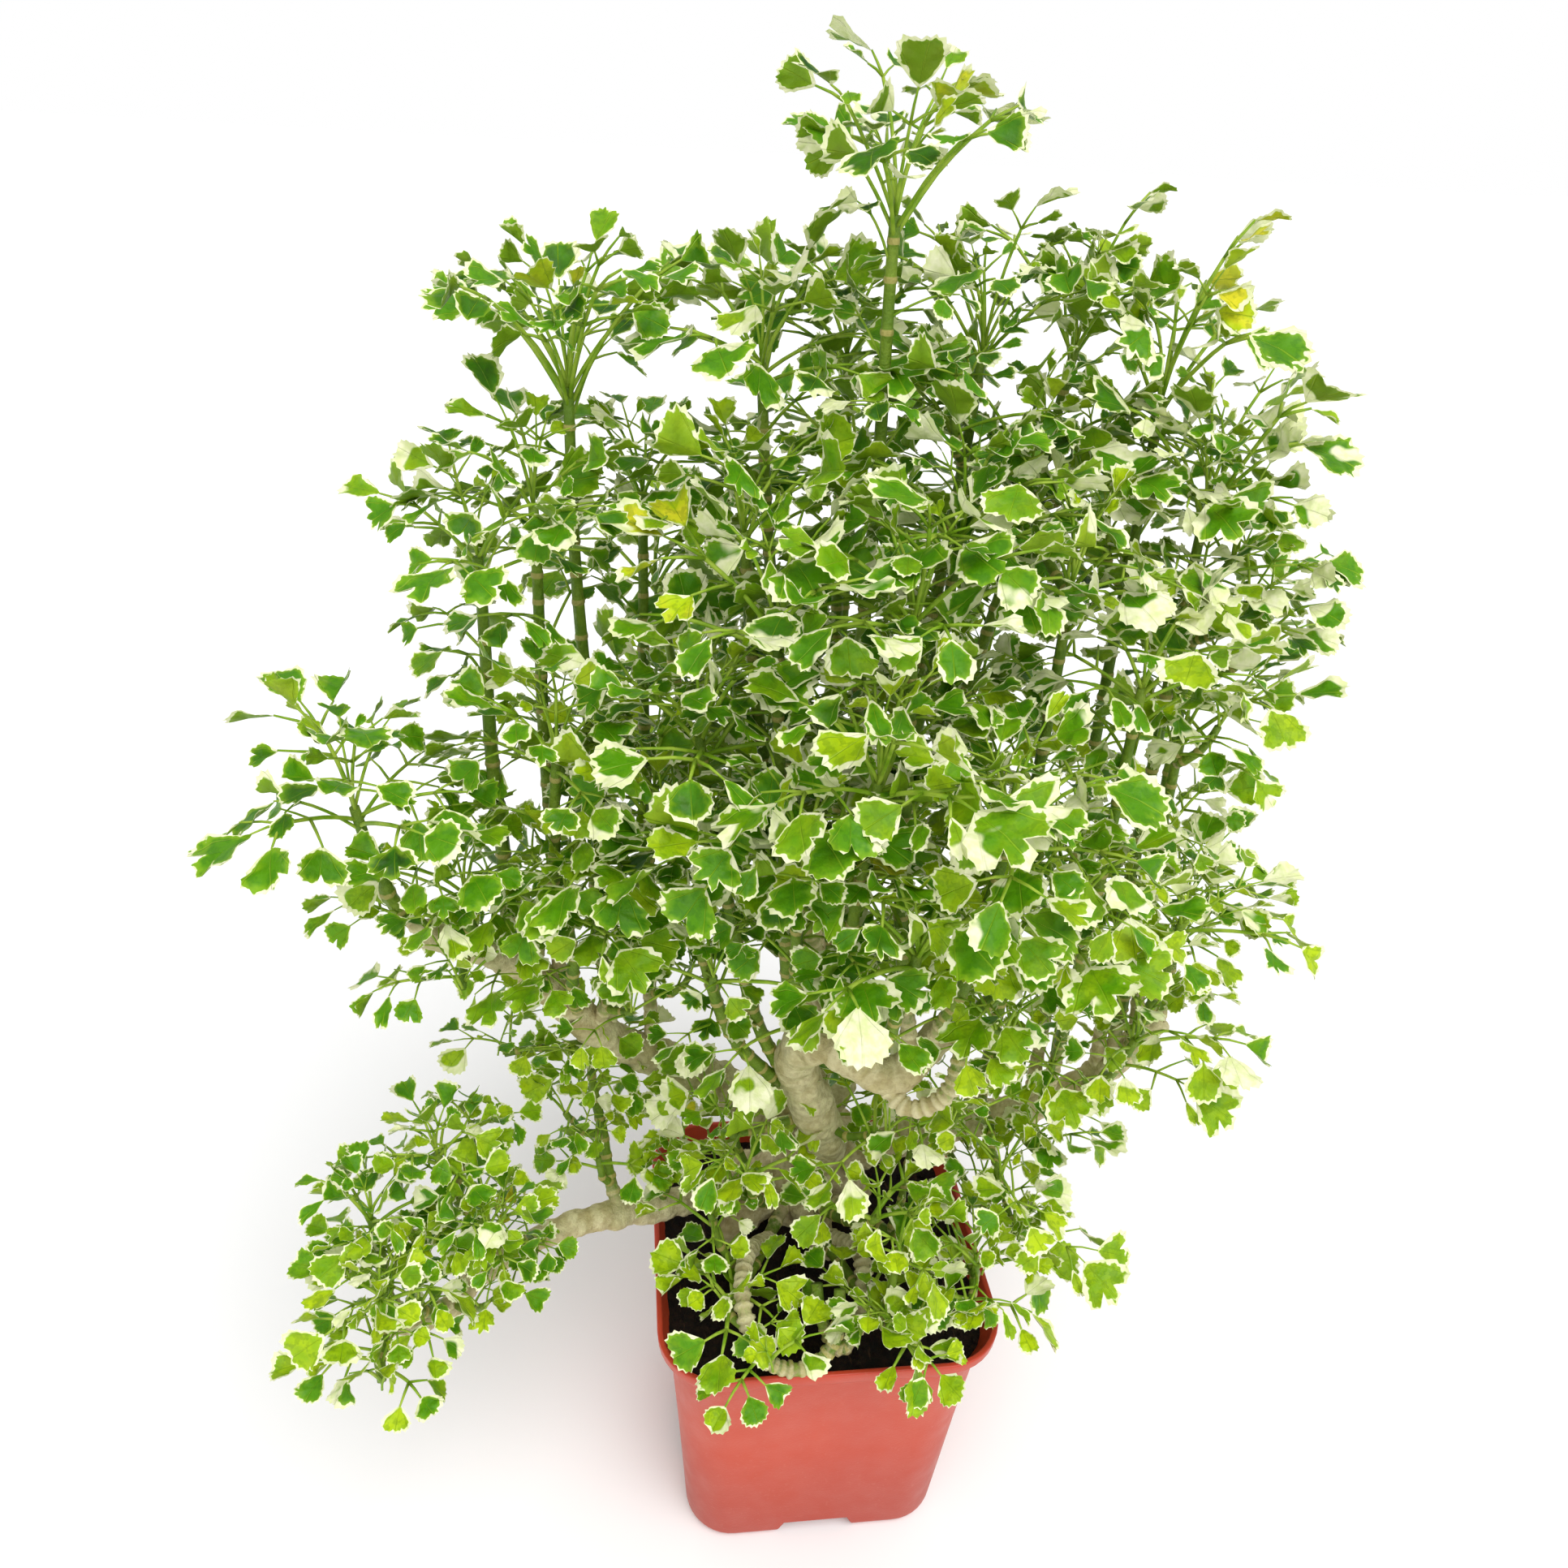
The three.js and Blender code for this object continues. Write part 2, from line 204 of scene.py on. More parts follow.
def feed(socket, value):
    """Links a socket to another, or sets its value."""
    if isinstance(value, bpy.types.NodeSocket):
        tree.links.new(value, socket)
    else:
        socket.default_value = value


def noise_node(scale, detail=2.0, roughness=0.5, stretch=(1, 1, 1)):
    """Noise over the piece's own coordinates, its scale in features per metre."""
    place = tree.nodes.new("ShaderNodeTexCoord")
    mapping = tree.nodes.new("ShaderNodeMapping")
    mapping.inputs["Scale"].default_value = stretch
    made = tree.nodes.new("ShaderNodeTexNoise")
    for name, value in (("Scale", scale), ("Detail", detail), ("Roughness", roughness)):
        made.inputs[name].default_value = value
    tree.links.new(place.outputs["Object"], mapping.inputs["Vector"])
    tree.links.new(mapping.outputs["Vector"], made.inputs["Vector"])
    return made.outputs["Fac"]


def maths(operation, *values):
    made = tree.nodes.new("ShaderNodeMath")
    made.operation = operation
    for socket, value in zip(made.inputs, values):
        feed(socket, value)
    return made.outputs[0]


times, plus, minus = (partial(maths, operation) for operation in ("MULTIPLY", "ADD", "SUBTRACT"))


def rise(value, low, high, bottom=0.0, top=1.0):
    """A smooth step from bottom at low to top at high."""
    made = tree.nodes.new("ShaderNodeMapRange")
    made.interpolation_type = "SMOOTHSTEP"
    for name, given in (("Value", value), ("From Min", low), ("From Max", high), ("To Min", bottom), ("To Max", top)):
        feed(made.inputs[name], given)
    return made.outputs[0]


def mix_colours(share, first, second):
    made = tree.nodes.new("ShaderNodeMix")
    made.data_type = "RGBA"
    feed(made.inputs[0], share)
    feed(made.inputs[6], first)
    feed(made.inputs[7], second)
    return made.outputs[2]


def surface(shader, colour, roughness, specular):
    for name, value in (("Base Color", colour), ("Roughness", roughness), ("Specular IOR Level", specular)):
        feed(shader.inputs[name], value)


def bump(shader, height, strength, distance):
    made = tree.nodes.new("ShaderNodeBump")
    made.inputs["Strength"].default_value = strength
    made.inputs["Distance"].default_value = distance
    tree.links.new(height, made.inputs["Height"])
    tree.links.new(made.outputs["Normal"], shader.inputs["Normal"])


plastic, tree, shader = new_material("coral_polypropylene")
cloudy = rise(noise_node(22, detail=3), 0.3, 0.7)
flow = rise(noise_node(60, detail=4, stretch=(1, 1, 0.25)), 0.35, 0.7)
body_colour = mix_colours(cloudy, rgb(199, 73, 45), rgb(193, 67, 40))
body_colour = mix_colours(times(flow, 0.35), body_colour, rgb(189, 69, 49))
dust = rise(noise_node(900, detail=2), 0.62, 0.74)
height_up = tree.nodes.new("ShaderNodeSeparateXYZ")
tree.links.new(tree.nodes.new("ShaderNodeTexCoord").outputs["Object"], height_up.inputs["Vector"])
# Painted shade: the coral is painted darker towards the foot.
painted_shade_low = rise(height_up.outputs["Z"], 0.0, 0.7 * POT_HEIGHT, 0.85, 0.0)
body_colour = mix_colours(painted_shade_low, body_colour, rgb(166, 58, 38))
# Painted glow: the rim top is painted a deeper red, standing in for light shining through the thin plastic.
painted_rim_glow = rise(height_up.outputs["Z"], POT_HEIGHT - 0.9 * MM, POT_HEIGHT - 0.2 * MM)
body_colour = mix_colours(painted_rim_glow, body_colour, rgb(196, 66, 44))
body_colour = mix_colours(times(dust, 0.1), body_colour, rgb(206, 150, 128))
surface(shader, body_colour, rise(noise_node(120, detail=4), 0.25, 0.75, 0.36, 0.48), 0.42)
grain = plus(noise_node(1500, detail=2), times(noise_node(90, detail=2), 3.0))
bump(shader, grain, 0.12, 0.0004)
dress(pot, plastic)
select_only(pot)
bpy.ops.object.shade_smooth_by_angle(angle=math.radians(34))
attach(pot, "root")
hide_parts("pot")

# ---- Soil ----
# The pot is filled with dark, fine peat compost to just below its rim, pressed in by hand.
# Its top is uneven, with crumbs and small clods lying on it.
SOIL_LEVEL = 85 * MM
SOIL_SIDE = 93 * MM
SOIL_CORNER = 16 * MM
CRUMBS = 230
CLOD_SIZE = 9 * MM
CLOD_HEIGHT = 3.4 * MM
# The sides of the fill below its edge: how far down each ring goes, in millimetres, and how far it draws in.
SOIL_SKIRT = [(2.5, 0.955), (9, 0.96)]

bpy.ops.object.select_all(action="DESELECT")
bpy.ops.mesh.primitive_grid_add(x_subdivisions=96, y_subdivisions=96, size=SOIL_SIDE, location=(0, 0, SOIL_LEVEL - 1.2 * MM))
soil = start_piece("soil_top")
for vertex in soil.data.vertices:
    # The square grid is drawn in at its corners to the rounded square of the pot.
    reach = max(abs(vertex.co.x), abs(vertex.co.y))
    if reach > 0:
        across = Vector((abs(vertex.co.x), abs(vertex.co.y))) / reach
        ring_side = 0.5 * SOIL_SIDE
        ring_corner = SOIL_CORNER / ring_side
        overshoot = Vector((max(across.x - 1 + ring_corner, 0), max(across.y - 1 + ring_corner, 0)))
        if overshoot.length > ring_corner:
            inner = across - overshoot
            across = inner + overshoot.normalized() * ring_corner
        vertex.co.x = math.copysign(across.x * reach, vertex.co.x)
        vertex.co.y = math.copysign(across.y * reach, vertex.co.y)
lumps = bpy.data.textures.new("clods", "CLOUDS")
lumps.noise_scale = CLOD_SIZE
lumps.noise_depth = 4
apply_modifier(soil, "DISPLACE", texture=lumps, strength=CLOD_HEIGHT, mid_level=0.5, texture_coords="GLOBAL", direction="Z")
edit()
pick_edges(soil, lambda e: e.is_boundary)
for drop, draw_in in SOIL_SKIRT:
    bpy.ops.mesh.extrude_region_move(TRANSFORM_OT_translate={"value": (0, 0, -drop * MM)})
    bpy.ops.transform.resize(value=(draw_in, draw_in, 1), center_override=(0, 0, 0))
bpy.ops.mesh.edge_face_add()
leave_edit()
soil_parts = [soil]
chance = random.Random(11)
for _ in range(CRUMBS):
    half = 0.46 * SOIL_SIDE
    place = Vector((chance.uniform(-half, half), chance.uniform(-half, half), SOIL_LEVEL - chance.uniform(0.2, 1.4) * MM))
    bpy.ops.mesh.primitive_ico_sphere_add(subdivisions=1, radius=chance.uniform(0.5, 1.9) * MM, location=place)
    grit = bpy.context.object
    grit.scale = (chance.uniform(0.7, 1.4), chance.uniform(0.6, 1.2), chance.uniform(0.5, 0.9))
    grit.rotation_euler = (chance.uniform(0, 3), chance.uniform(0, 3), chance.uniform(0, 3))
    soil_parts.append(grit)


def join_pieces(pieces, name):
    """Joins pieces into the first of them, with their places in its mesh."""
    bpy.ops.object.select_all(action="DESELECT")
    for piece in pieces:
        piece.select_set(True)
    bpy.context.view_layer.objects.active = pieces[0]
    bpy.ops.object.join()
    joined = bpy.context.object
    joined.name = joined.data.name = name
    bpy.ops.object.transform_apply(location=True, rotation=True, scale=True)
    return joined


soil = join_pieces(soil_parts, "soil_fill")
earth, tree, shader = new_material("peat_compost")
clod = rise(noise_node(420, detail=5, roughness=0.65), 0.38, 0.66)
fibre = rise(noise_node(700, detail=3, stretch=(1, 0.25, 1)), 0.62, 0.72)
dark_earth = mix_colours(clod, rgb(10, 6, 4), rgb(42, 29, 22))
surface(shader, mix_colours(times(fibre, 0.5), dark_earth, rgb(88, 62, 42)), rise(clod, 0, 1, 0.8, 1.0), 0.25)
bump(shader, noise_node(1100, detail=5, roughness=0.7), 0.9, 0.001)
dress(soil, earth)
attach(soil, "root")
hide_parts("soil")

# ---- Trunk and boughs ----
# A short, gnarled trunk stands on roots that show above the compost, and parts into six low boughs.
# The wood is old, pale and ringed with leaf scars, and each bough carries its green canes.
CANE_ROOT = 2.1 * MM
CANE_TIP = 1.2 * MM
SPRIG_RADII = (1.35 * MM, 0.95 * MM)
CURLED_RADII = (2.3 * MM, 1.7 * MM)
ROOT_RADII = (7.4 * MM, 3 * MM)
RIDGE_SPACING = 3.3 * MM
WOOD_VOXEL = 0.85 * MM
STEM_STEPS = 60
TRUNK = {"route": [(-6, 20, 50), (-5, 20, 78), (-2, 22, 96), (6, 26, 116)], "radii": (13.5, 10)}
SURFACE_ROOTS = [(-34, 2), (-30, 40), (6, 40), (26, 22), (6, -8)]
# Each bough: its route and its radius at both ends, then its canes, as the share of the route where
# the cane springs and the place of its tip, all in millimetres.
BOUGHS = {
    "leader": {
        "route": [(4, 25, 111), (10, 30, 140), (3, 25, 166), (8, 30, 194)],
        "radii": (7, 4),
        "canes": [
            (1.0, (-1, 6, 377)), (0.8, (-25, 26, 344)), (0.9, (-2, 44, 344)), (0.95, (26, 24, 350)),
            (1.0, (50, 30, 350)), (0.7, (-30, 2, 312)), (0.85, (18, -4, 314)),
        ],
    },
    "left_high": {
        "route": [(-3, 27, 106), (-38, 22, 138), (-62, 14, 158), (-84, 4, 192), (-106, -12, 216)],
        "radii": (7.5, 3.5),
        "canes": [
            (0.5, (-68, 12, 340)), (1.0, (-116, -20, 255)), (0.8, (-88, 0, 306)), (0.66, (-76, 5, 316)),
            (0.4, (-52, 26, 314)), (0.75, (-72, -14, 264)), (0.55, (-50, -10, 254)), (0.9, (-94, -20, 232)),
            (0.6, (-71, -14, 224)),
        ],
    },
    "left_low": {
        "route": [(-4, 22, 94), (-45, 6, 99), (-78, -8, 106), (-98, -18, 102), (-111, -27, 96), (-124, -32, 99)],
        "radii": (5.2, 2.7),
        "canes": [
            (0.97, (-124, -26, 134)), (0.7, (-108, -14, 144)), (0.85, (-120, -42, 124)), (0.6, (-94, -28, 130)),
            (1.0, (-122, -46, 96)), (0.45, (-68, 16, 152)),
        ],
    },
    "front": {
        "route": [(1, 17, 100), (-1, -2, 134), (-12, -12, 172), (-6, -24, 186), (10, -30, 180), (24, -26, 192)],
        "radii": (7.5, 4.5),
        "canes": [
            (0.5, (-4, -42, 272)), (0.95, (26, -42, 258)), (0.6, (-19, -38, 246)), (0.8, (8, -46, 230)),
            (1.0, (48, -26, 222)), (0.4, (-24, -20, 296)), (0.9, (4, -26, 302)), (0.35, (-46, -14, 236)),
            (0.3, (-40, -16, 270)),
        ],
    },
    "right": {
        "route": [(10, 21, 102), (42, 24, 108), (68, 20, 118), (90, 16, 136), (104, 14, 158)],
        "radii": (7, 3.8),
        "canes": [
            (0.55, (70, 22, 340)), (0.4, (44, -8, 304)), (0.75, (83, 14, 316)), (0.9, (90, 20, 286)),
            (0.6, (64, -12, 280)), (0.8, (86, 6, 258)), (1.0, (102, 12, 196)), (0.85, (92, -6, 208)),
            (0.7, (88, -4, 166)),
        ],
    },
    "back": {
        "route": [(2, 32, 98), (4, 58, 124), (6, 80, 166)],
        "radii": (7, 4),
        "canes": [
            (0.7, (-48, 62, 280)), (1.0, (8, 74, 306)), (0.9, (54, 62, 292)), (0.8, (-32, 92, 226)),
            (1.0, (40, 94, 232)), (0.5, (76, 70, 208)),
        ],
    },
}
BASAL_CANES = [
    (0.56, (-25, -20, 138)),
    (0.58, (12, -26, 124)),
    (0.56, (-30, -34, 100)),
    (0.58, (12, -44, 102)),
    (0.6, (42, -30, 104)),
]
# Short sprigs, each from the nearest cane or wood of its bough to the tip that is given here.
SPRIGS = {
    "leader": [
        (36, 16, 328), (54, 20, 322), (18, 14, 336), (-22, 12, 250), (14, 8, 262), (34, 12, 300),
        (-6, 30, 280), (20, 16, 226), (-16, 14, 212), (30, 34, 250),
    ],
    "left_high": [
        (-106, -14, 221), (-96, -22, 206), (-91, 0, 196), (-92, 14, 154), (-56, -5, 183), (-40, 6, 186),
        (-64, 4, 200), (-72, 10, 250), (-52, 14, 232),
    ],
    "left_low": [
        (-75, 6, 138), (-66, 2, 124), (-100, -4, 146), (-112, -38, 116), (-44, 4, 128), (-96, -34, 108),
    ],
    "front": [
        (13, -20, 150), (-29, -12, 144), (-36, -26, 210), (36, -34, 196), (-10, -30, 226), (36, -36, 240),
    ],
    "right": [
        (66, 0, 120), (51, -10, 104), (48, -20, 131), (54, -25, 113), (33, -16, 148), (86, 16, 322),
        (90, 8, 306), (104, 10, 282), (96, 8, 294), (92, 0, 264), (60, 14, 306), (40, 18, 318),
        (60, 4, 160), (76, 0, 200), (56, 6, 232), (70, 8, 148),
    ],
    "back": [
        (-14, 66, 180), (30, 72, 178), (-30, 76, 200), (24, 84, 262), (-10, 70, 262), (50, 66, 250),
    ],
    "basal": [
        (-20, -50, 97), (20, -52, 102), (36, -44, 105), (40, -34, 112), (16, -38, 126), (0, 8, 132),
        (28, 2, 124), (-26, 6, 128), (-34, -14, 116), (-40, 0, 120),
    ],
}
CURLED_STEMS = [
    [(-14, -2, 90), (-24, -20, 104), (-26, -38, 103), (-19, -46, 93), (-8, -47, 91), (-1, -44, 97), (1, -36, 108)],
    [(4, -2, 90), (10, -20, 101), (8, -36, 96), (2, -42, 91), (-4, -38, 98), (-5, -32, 106)],
    [(8, -28, 178), (14, -36, 174), (22, -38, 180), (26, -34, 190), (24, -28, 196)],
]


def smooth_route(points, steps):
    """Evenly spaced points, in metres, on a smooth curve through points given in millimetres."""
    knots = [Vector(p) * MM for p in points]
    knots = [2 * knots[0] - knots[1], *knots, 2 * knots[-1] - knots[-2]]
    traced = [knots[1]]
    for a, b, c, d in zip(knots, knots[1:], knots[2:], knots[3:]):
        at_b = (b - a).length ** 0.5
        at_c = at_b + (c - b).length ** 0.5
        at_d = at_c + (d - c).length ** 0.5
        for k in range(1, 13):
            t = at_b + (at_c - at_b) * k / 12
            ab = a.lerp(b, t / at_b)
            bc = b.lerp(c, (t - at_b) / (at_c - at_b))
            cd = c.lerp(d, (t - at_c) / (at_d - at_c))
            abc = ab.lerp(bc, t / at_c)
            bcd = bc.lerp(cd, (t - at_b) / (at_d - at_b))
            traced.append(abc.lerp(bcd, (t - at_b) / (at_c - at_b)))
    traced = np.array(traced)
    lengths = np.concatenate([[0], np.cumsum(np.linalg.norm(np.diff(traced, axis=0), axis=1))])
    wanted = np.linspace(0, lengths[-1], steps + 1)
    return np.stack([np.interp(wanted, lengths, traced[:, axis]) for axis in range(3)], axis=1)


def at_share(route, share):
    """The point at a share of a route's length."""
    where = share * (len(route) - 1)
    low = min(int(where), len(route) - 2)
    return Vector(route[low]).lerp(Vector(route[low + 1]), where - low)


def cane_route(root, tip):
    """A cane leaves the wood outwards and then turns up to its tip. Root and tip are in millimetres."""
    root, tip = Vector(root), Vector(tip)
    spread = (tip - root) * 0.2
    spread.z = 0
    knee = root.lerp(tip, 0.35) + spread
    neck = root.lerp(tip, 0.75) + spread * 0.6
    return smooth_route([root, knee, neck, tip], STEM_STEPS)


def sweep(name, route, radii, sides):
    """A round stem along a route, with its radius at each point and closed ends."""
    curve = bpy.data.curves.new(name, "CURVE")
    curve.dimensions = "3D"
    curve.bevel_depth = 1.0
    curve.bevel_resolution = sides // 2 - 2
    curve.use_fill_caps = True
    spline = curve.splines.new("POLY")
    spline.points.add(len(route) - 1)
    for point, place, radius in zip(spline.points, route, radii):
        point.co = (*place, 1)
        point.radius = radius
    stem = bpy.data.objects.new(name, curve)
    bpy.context.collection.objects.link(stem)
    select_only(stem)
    bpy.ops.object.convert(target="MESH")
    edit()
    pick_all()
    bpy.ops.mesh.remove_doubles(threshold=0.001 * MM)
    leave_edit()
    return bpy.context.object


def paint(piece, name, values):
    """Gives a piece's vertices a named value each, or one value for all."""
    layer = piece.data.attributes.get(name) or piece.data.attributes.new(name, "FLOAT", "POINT")
    filled = np.empty(len(piece.data.vertices), np.float32)
    filled[:] = values
    layer.data.foreach_set("value", filled)


def grow_cane(route, root_radius, tip_radius, chance, woody=0.3, scar_gap=(3.2, 5.5), swollen=(1.1, 1.2)):
    """A cane swollen at the scars of fallen leaves, which lie close together low down and apart higher up."""
    vary = chance.uniform
    length = float(np.linalg.norm(np.diff(route, axis=0), axis=1).sum())
    stations = [(0.0, 1.0, 0.0)]
    reached = 2.5 * MM
    while reached < length - 3 * MM:
        swelling = vary(*swollen)
        stations += [
            (reached - 0.9 * MM, 1.0, 0.0),
            (reached - 0.3 * MM, swelling, 1.0),
            (reached + 0.4 * MM, swelling * 0.98, 1.0),
            (reached + 1.1 * MM, 1.0, 0.0),
        ]
        reached += (scar_gap[0] + scar_gap[1] * (reached / length) ** 0.7) * vary(0.75, 1.3) * MM
    stations.append((length, 1.0, 0.0))
    sway_phase, sway = vary(0, 6), vary(0.3, 0.9) * MM
    places, radii, rings, ages = [], [], [], []
    for reached, swelling, ring in stations:
        share = reached / length
        drift = sway * math.sin(math.pi * share) * math.sin(9 * share + sway_phase)
        places.append(at_share(route, share) + Vector((drift, drift * 0.7, 0)))
        radii.append((root_radius + (tip_radius - root_radius) * share) * swelling)
        rings.append(ring)
        ages.append(max(0.0, 1 - share / max(woody, 0.01)))
    cane = sweep("cane", places, radii, 8)
    stations_at = np.array([tuple(place) for place in places])
    nearest = [int(np.argmin(((stations_at - vertex.co) ** 2).sum(1))) for vertex in cane.data.vertices]
    paint(cane, "ring", np.array(rings)[nearest])
    paint(cane, "age", np.array(ages)[nearest])
    return cane


def grow_wood(routes, name, seed):
    """Old wood: swept limbs with burls on them, grown together and ridged across like the real bark."""
    vary = random.Random(seed).uniform
    limbs = []
    for route, start_radius, end_radius in routes:
        radii = []
        for k in range(len(route)):
            share = k / (len(route) - 1)
            swell = 1 + 0.16 * noise.noise(Vector((share * 9, seed, 0))) + 0.1 * noise.noise(Vector((share * 31, seed, 5)))
            radii.append((start_radius + (end_radius - start_radius) * share) * swell)
        limbs.append(sweep(name, route, radii, 12))
        for _ in range(max(2, len(route) // 7)):
            share = vary(0.1, 0.95)
            radius = start_radius + (end_radius - start_radius) * share
            around = Vector((vary(-1, 1), vary(-1, 1), vary(-0.6, 1))).normalized()
            place = at_share(route, share) + around * radius * vary(0.55, 0.85)
            bpy.ops.mesh.primitive_ico_sphere_add(subdivisions=2, radius=radius * vary(0.4, 0.62), location=place)
            limbs.append(bpy.context.object)
    wood = join_pieces(limbs, name)
    apply_modifier(wood, "REMESH", mode="VOXEL", voxel_size=WOOD_VOXEL)
    apply_modifier(wood, "SMOOTH", factor=0.5, iterations=3)
    count = len(wood.data.vertices)
    co = np.empty(count * 3)
    wood.data.vertices.foreach_get("co", co)
    co = co.reshape(-1, 3)
    normals = np.empty(count * 3)
    wood.data.vertices.foreach_get("normal", normals)
    normals = normals.reshape(-1, 3)
    centre_line = np.concatenate([route for route, *_ in routes])
    steps = [float(np.linalg.norm(route[1] - route[0])) for route, *_ in routes]
    reached = np.concatenate([np.arange(len(route)) * steps[k] + 0.4 * k for k, (route, *_) in enumerate(routes)])
    nearest = np.array([np.argmin(((centre_line - p) ** 2).sum(1)) for p in co])
    along = reached[nearest]
    ridges = np.empty(count)
    for i in range(count):
        p = Vector(co[i])
        uneven = noise.noise(p * 120) * 1.1
        wave = 0.5 + 0.5 * math.sin(2 * math.pi * (along[i] / RIDGE_SPACING) + 2.2 * uneven)
        ridges[i] = wave**3 * max(0.0, min(1.0, 0.62 + 0.9 * noise.noise(p * 70 + Vector((seed, 0, 0)))))
        lift = 0.42 * ridges[i] + 0.85 * noise.noise(p * 190) + 0.4 * noise.noise(p * 480)
        co[i] += normals[i] * lift * MM
    wood.data.vertices.foreach_set("co", co.ravel())
    wood.data.update()
    paint(wood, "ring", ridges)
    paint(wood, "age", 1.0)
    return wood


def value_of(name):
    """Reads a named value of the piece's vertices."""
    made = tree.nodes.new("ShaderNodeAttribute")
    made.attribute_name = name
    return made.outputs["Fac"]


bark, tree, shader = new_material("ringed_bark")
age, ring = value_of("age"), value_of("ring")
blotch = rise(noise_node(95, detail=4, roughness=0.6), 0.35, 0.7)
fine = rise(noise_node(520, detail=4, roughness=0.65), 0.3, 0.72)
algae = rise(noise_node(60, detail=3), 0.5, 0.68)
old = mix_colours(blotch, rgb(224, 216, 170), rgb(188, 176, 124))
old = mix_colours(times(fine, 0.55), old, rgb(138, 118, 72))
old = mix_colours(times(algae, 0.35), old, rgb(156, 160, 84))
old = mix_colours(times(ring, 0.5), old, rgb(236, 228, 184))
green = mix_colours(blotch, rgb(98, 132, 26), rgb(136, 162, 48))
green = mix_colours(times(fine, 0.3), green, rgb(74, 104, 20))
green = mix_colours(rise(ring, 0.35, 0.75), green, rgb(176, 168, 92))
ageing = rise(plus(age, times(minus(fine, 0.5), 0.35)), 0.25, 0.7)
surface(shader, mix_colours(ageing, green, old), rise(ageing, 0, 1, 0.5, 0.86), 0.35)
relief = plus(fine, times(noise_node(1400, detail=3), 0.6))
bump(shader, relief, 0.5, 0.0006)


def finish_stems(pieces, name, node):
    """Joins wood and canes into one piece that stands for its CAD node."""
    piece = join_pieces(pieces, name)
    dress(piece, bark)
    piece.data.polygons.foreach_set("use_smooth", [True] * len(piece.data.polygons))
    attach(piece, "root")
    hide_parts(node)


# Every shoot that carries leaves is kept here with its route and the bough it grows on.
shoots = []
sprigs = []


def grow_sprigs(bough, supports, chance):
    """Thin stems from the nearest point of the wood or canes, a little below each sprig's tip."""
    grown = []
    around = np.concatenate(supports)
    for tip in SPRIGS[bough]:
        below = around[around[:, 2] < tip[2] * MM + 4 * MM]
        below = below if len(below) else around
        lowered = np.array(tip) * MM - np.array((0, 0, 14 * MM))
        root = Vector(below[np.argmin(((below - lowered) ** 2).sum(1))])
        route = cane_route(root / MM, tip)
        grown.append(grow_cane(route, *SPRIG_RADII, chance, woody=0.1))
        sprigs.append({"bough": bough, "route": route})
    return grown


chance = random.Random(3)
trunk_route = smooth_route(TRUNK["route"], 40)
routes = [(trunk_route, TRUNK["radii"][0] * MM, TRUNK["radii"][1] * MM)]
crown = Vector(TRUNK["route"][1])
for x, y in SURFACE_ROOTS:
    dip = Vector((x, y, SOIL_LEVEL / MM - 9))
    shoulder = crown.lerp(dip, 0.5)
    shoulder.z = SOIL_LEVEL / MM + 3.5
    top = crown.copy()
    top.z = SOIL_LEVEL / MM + 8
    routes.append((smooth_route([top, shoulder, dip], 24), *ROOT_RADII))
stems = [grow_wood(routes, "trunk_wood", 5)]
for number, (share, tip) in enumerate(BASAL_CANES):
    route = cane_route(at_share(trunk_route, share) / MM, tip)
    stems.append(grow_cane(route, CANE_ROOT * 1.15, CANE_TIP, chance, woody=0.55))
    shoots.append({"bough": "basal", "number": number + 1, "route": route})
stems += grow_sprigs("basal", [trunk_route[15:]] + [shoot["route"] for shoot in shoots], chance)
for points in CURLED_STEMS:
    route = smooth_route(points, STEM_STEPS)
    stems.append(grow_cane(route, *CURLED_RADII, chance, woody=1.3, scar_gap=(2.5, 0.3), swollen=(1.2, 1.42)))
finish_stems(stems, "trunk_and_roots", "trunk")

for order, (bough, grown) in enumerate(BOUGHS.items()):
    bough_route = smooth_route(grown["route"], STEM_STEPS)
    stems = [grow_wood([(bough_route, grown["radii"][0] * MM, grown["radii"][1] * MM)], f"{bough}_wood", 20 + order)]
    for number, (share, tip) in enumerate(grown["canes"]):
        route = cane_route(at_share(bough_route, share) / MM, tip)
        stems.append(grow_cane(route, CANE_ROOT, CANE_TIP, chance))
        shoots.append({"bough": bough, "number": number + 1, "route": route})
    own = [shoot["route"] for shoot in shoots if shoot["bough"] == bough]
    stems += grow_sprigs(bough, [bough_route, *own], chance)
    finish_stems(stems, f"{bough}_bough_and_canes", f"bough_{bough}")

# ---- Leaflets ----
# A leaflet is a thin, fan-shaped blade that narrows to its stalk, with small sharp teeth round its outer
# edge. Some are cut into two or three lobes, and each is folded or cupped a little in its own way.
OUTLINE_POINTS = 28
PLAIN_POINTS = 3
BLADE_THICKNESS = 0.022
MARGIN_RING = 0.72
# One half of the outline of a plain leaflet one unit long, from the stalk round to the tip.
HALF_OUTLINE = [
    (0, 0), (0.08, 0.07), (0.22, 0.2), (0.37, 0.36), (0.46, 0.52), (0.5, 0.69), (0.45, 0.84), (0.29, 0.95), (0, 1.0),
]
PLAIN_SHARE = 0.34
BLADE_MIDDLE = (0, 0.52)
CUT_WIDTH = 0.85
TOOTH_OUT, TOOTH_IN = 0.07, -0.045
RUFFLE = 0.05
